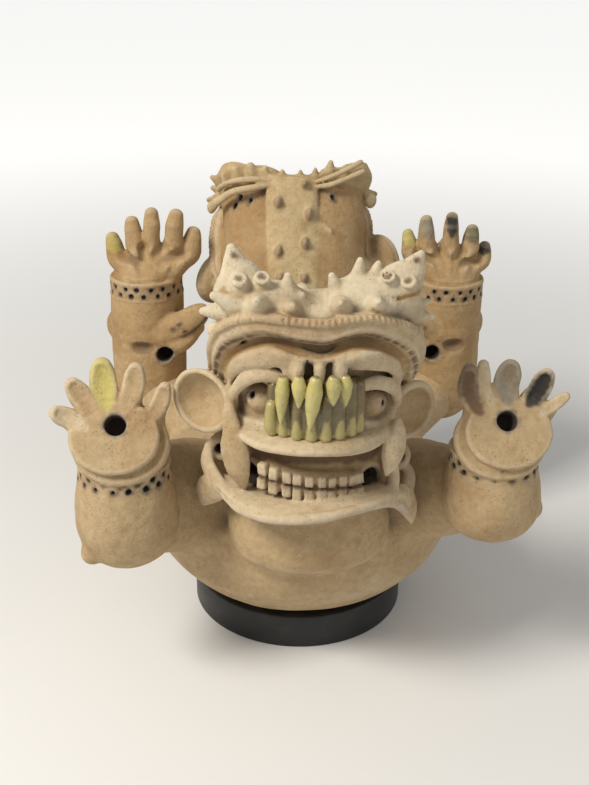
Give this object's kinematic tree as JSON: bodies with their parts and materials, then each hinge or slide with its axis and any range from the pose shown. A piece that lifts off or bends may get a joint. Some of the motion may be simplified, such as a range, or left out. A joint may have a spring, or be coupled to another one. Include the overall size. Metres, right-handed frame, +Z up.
{
  "type": "ceramic effigy vessel",
  "caption": "Round-bottomed fired-clay vessel with two fanged reptile heads back to back and four raised, clawed hands on hollow arms, resting on a black display ring.",
  "frame": {"origin": "on the table, under the middle of the display ring", "axes": "+Z up; -Y the way the front head looks and +Y the way the rear head looks; +X to the right of someone who faces the front head"},
  "size_m": [0.3754, 0.3922, 0.3629],
  "materials": {
    "clay_buff": "matte fired buff clay, specked and worn",
    "clay_cream": "matte fired cream clay, specked and worn",
    "clay_tan": "matte fired tan clay, specked and worn",
    "clay_ochre": "matte ochre yellow paint on fired clay",
    "clay_charred": "matte, fire-blackened clay",
    "glazed_teeth": "glossy thin yellow-green glaze",
    "ring_black": "matte black"
  },
  "bodies": {
    "ring": {"support_ring": "ring_black"},
    "vessel": {"body": "clay_buff", "front_right_limb": "clay_buff", "front_right_cuff": "clay_buff", "front_right_hand": "clay_buff", "front_right_claw_1": "clay_cream", "front_right_claw_2": "clay_cream", "front_right_claw_3": "clay_charred", "front_right_claw_4": "clay_charred", "front_right_claw_5": "clay_cream", "front_left_limb": "clay_buff", "front_left_cuff": "clay_buff", "front_left_hand": "clay_buff", "front_left_claw_1": "clay_cream", "front_left_claw_2": "clay_cream", "front_left_claw_3": "clay_ochre", "front_left_claw_4": "clay_cream", "front_left_claw_5": "clay_cream", "rear_left_limb": "clay_tan", "rear_left_cuff": "clay_buff", "rear_left_hand": "clay_buff", "rear_left_claw_1": "clay_ochre", "rear_left_claw_2": "clay_buff", "rear_left_claw_3": "clay_buff", "rear_left_claw_4": "clay_buff", "rear_left_claw_5": "clay_buff", "rear_right_limb": "clay_tan", "rear_right_cuff": "clay_buff", "rear_right_hand": "clay_buff", "rear_right_claw_1": "clay_charred", "rear_right_claw_2": "clay_charred", "rear_right_claw_3": "clay_charred", "rear_right_claw_4": "clay_tan", "rear_right_claw_5": "clay_cream", "front_head": "clay_cream", "front_brow_band": "clay_cream", "front_crown": "clay_cream", "front_upper_jaw": "clay_cream", "front_lower_jaw": "clay_cream", "front_tooth_block": "glazed_teeth", "front_left_crest_head": "clay_cream", "front_left_ear_spool": "clay_cream", "front_left_tusk": "clay_cream", "front_right_crest_head": "clay_cream", "front_right_ear_spool": "clay_cream", "front_right_tusk": "clay_cream", "rear_head": "clay_tan", "rear_brow_band": "clay_tan", "rear_crown": "clay_tan", "rear_upper_jaw": "clay_tan", "rear_lower_jaw": "clay_tan", "rear_tooth_block": "glazed_teeth", "rear_left_crest_head": "clay_tan", "rear_left_ear_spool": "clay_tan", "rear_left_tusk": "clay_tan", "rear_right_crest_head": "clay_tan", "rear_right_ear_spool": "clay_tan", "rear_right_tusk": "clay_tan"}
  },
  "joints": [
    {"name": "lift_off", "type": "slide", "parent": "ring", "child": "vessel", "axis": [0, 0, 1], "range_m": [0, 0.06]}
  ]
}
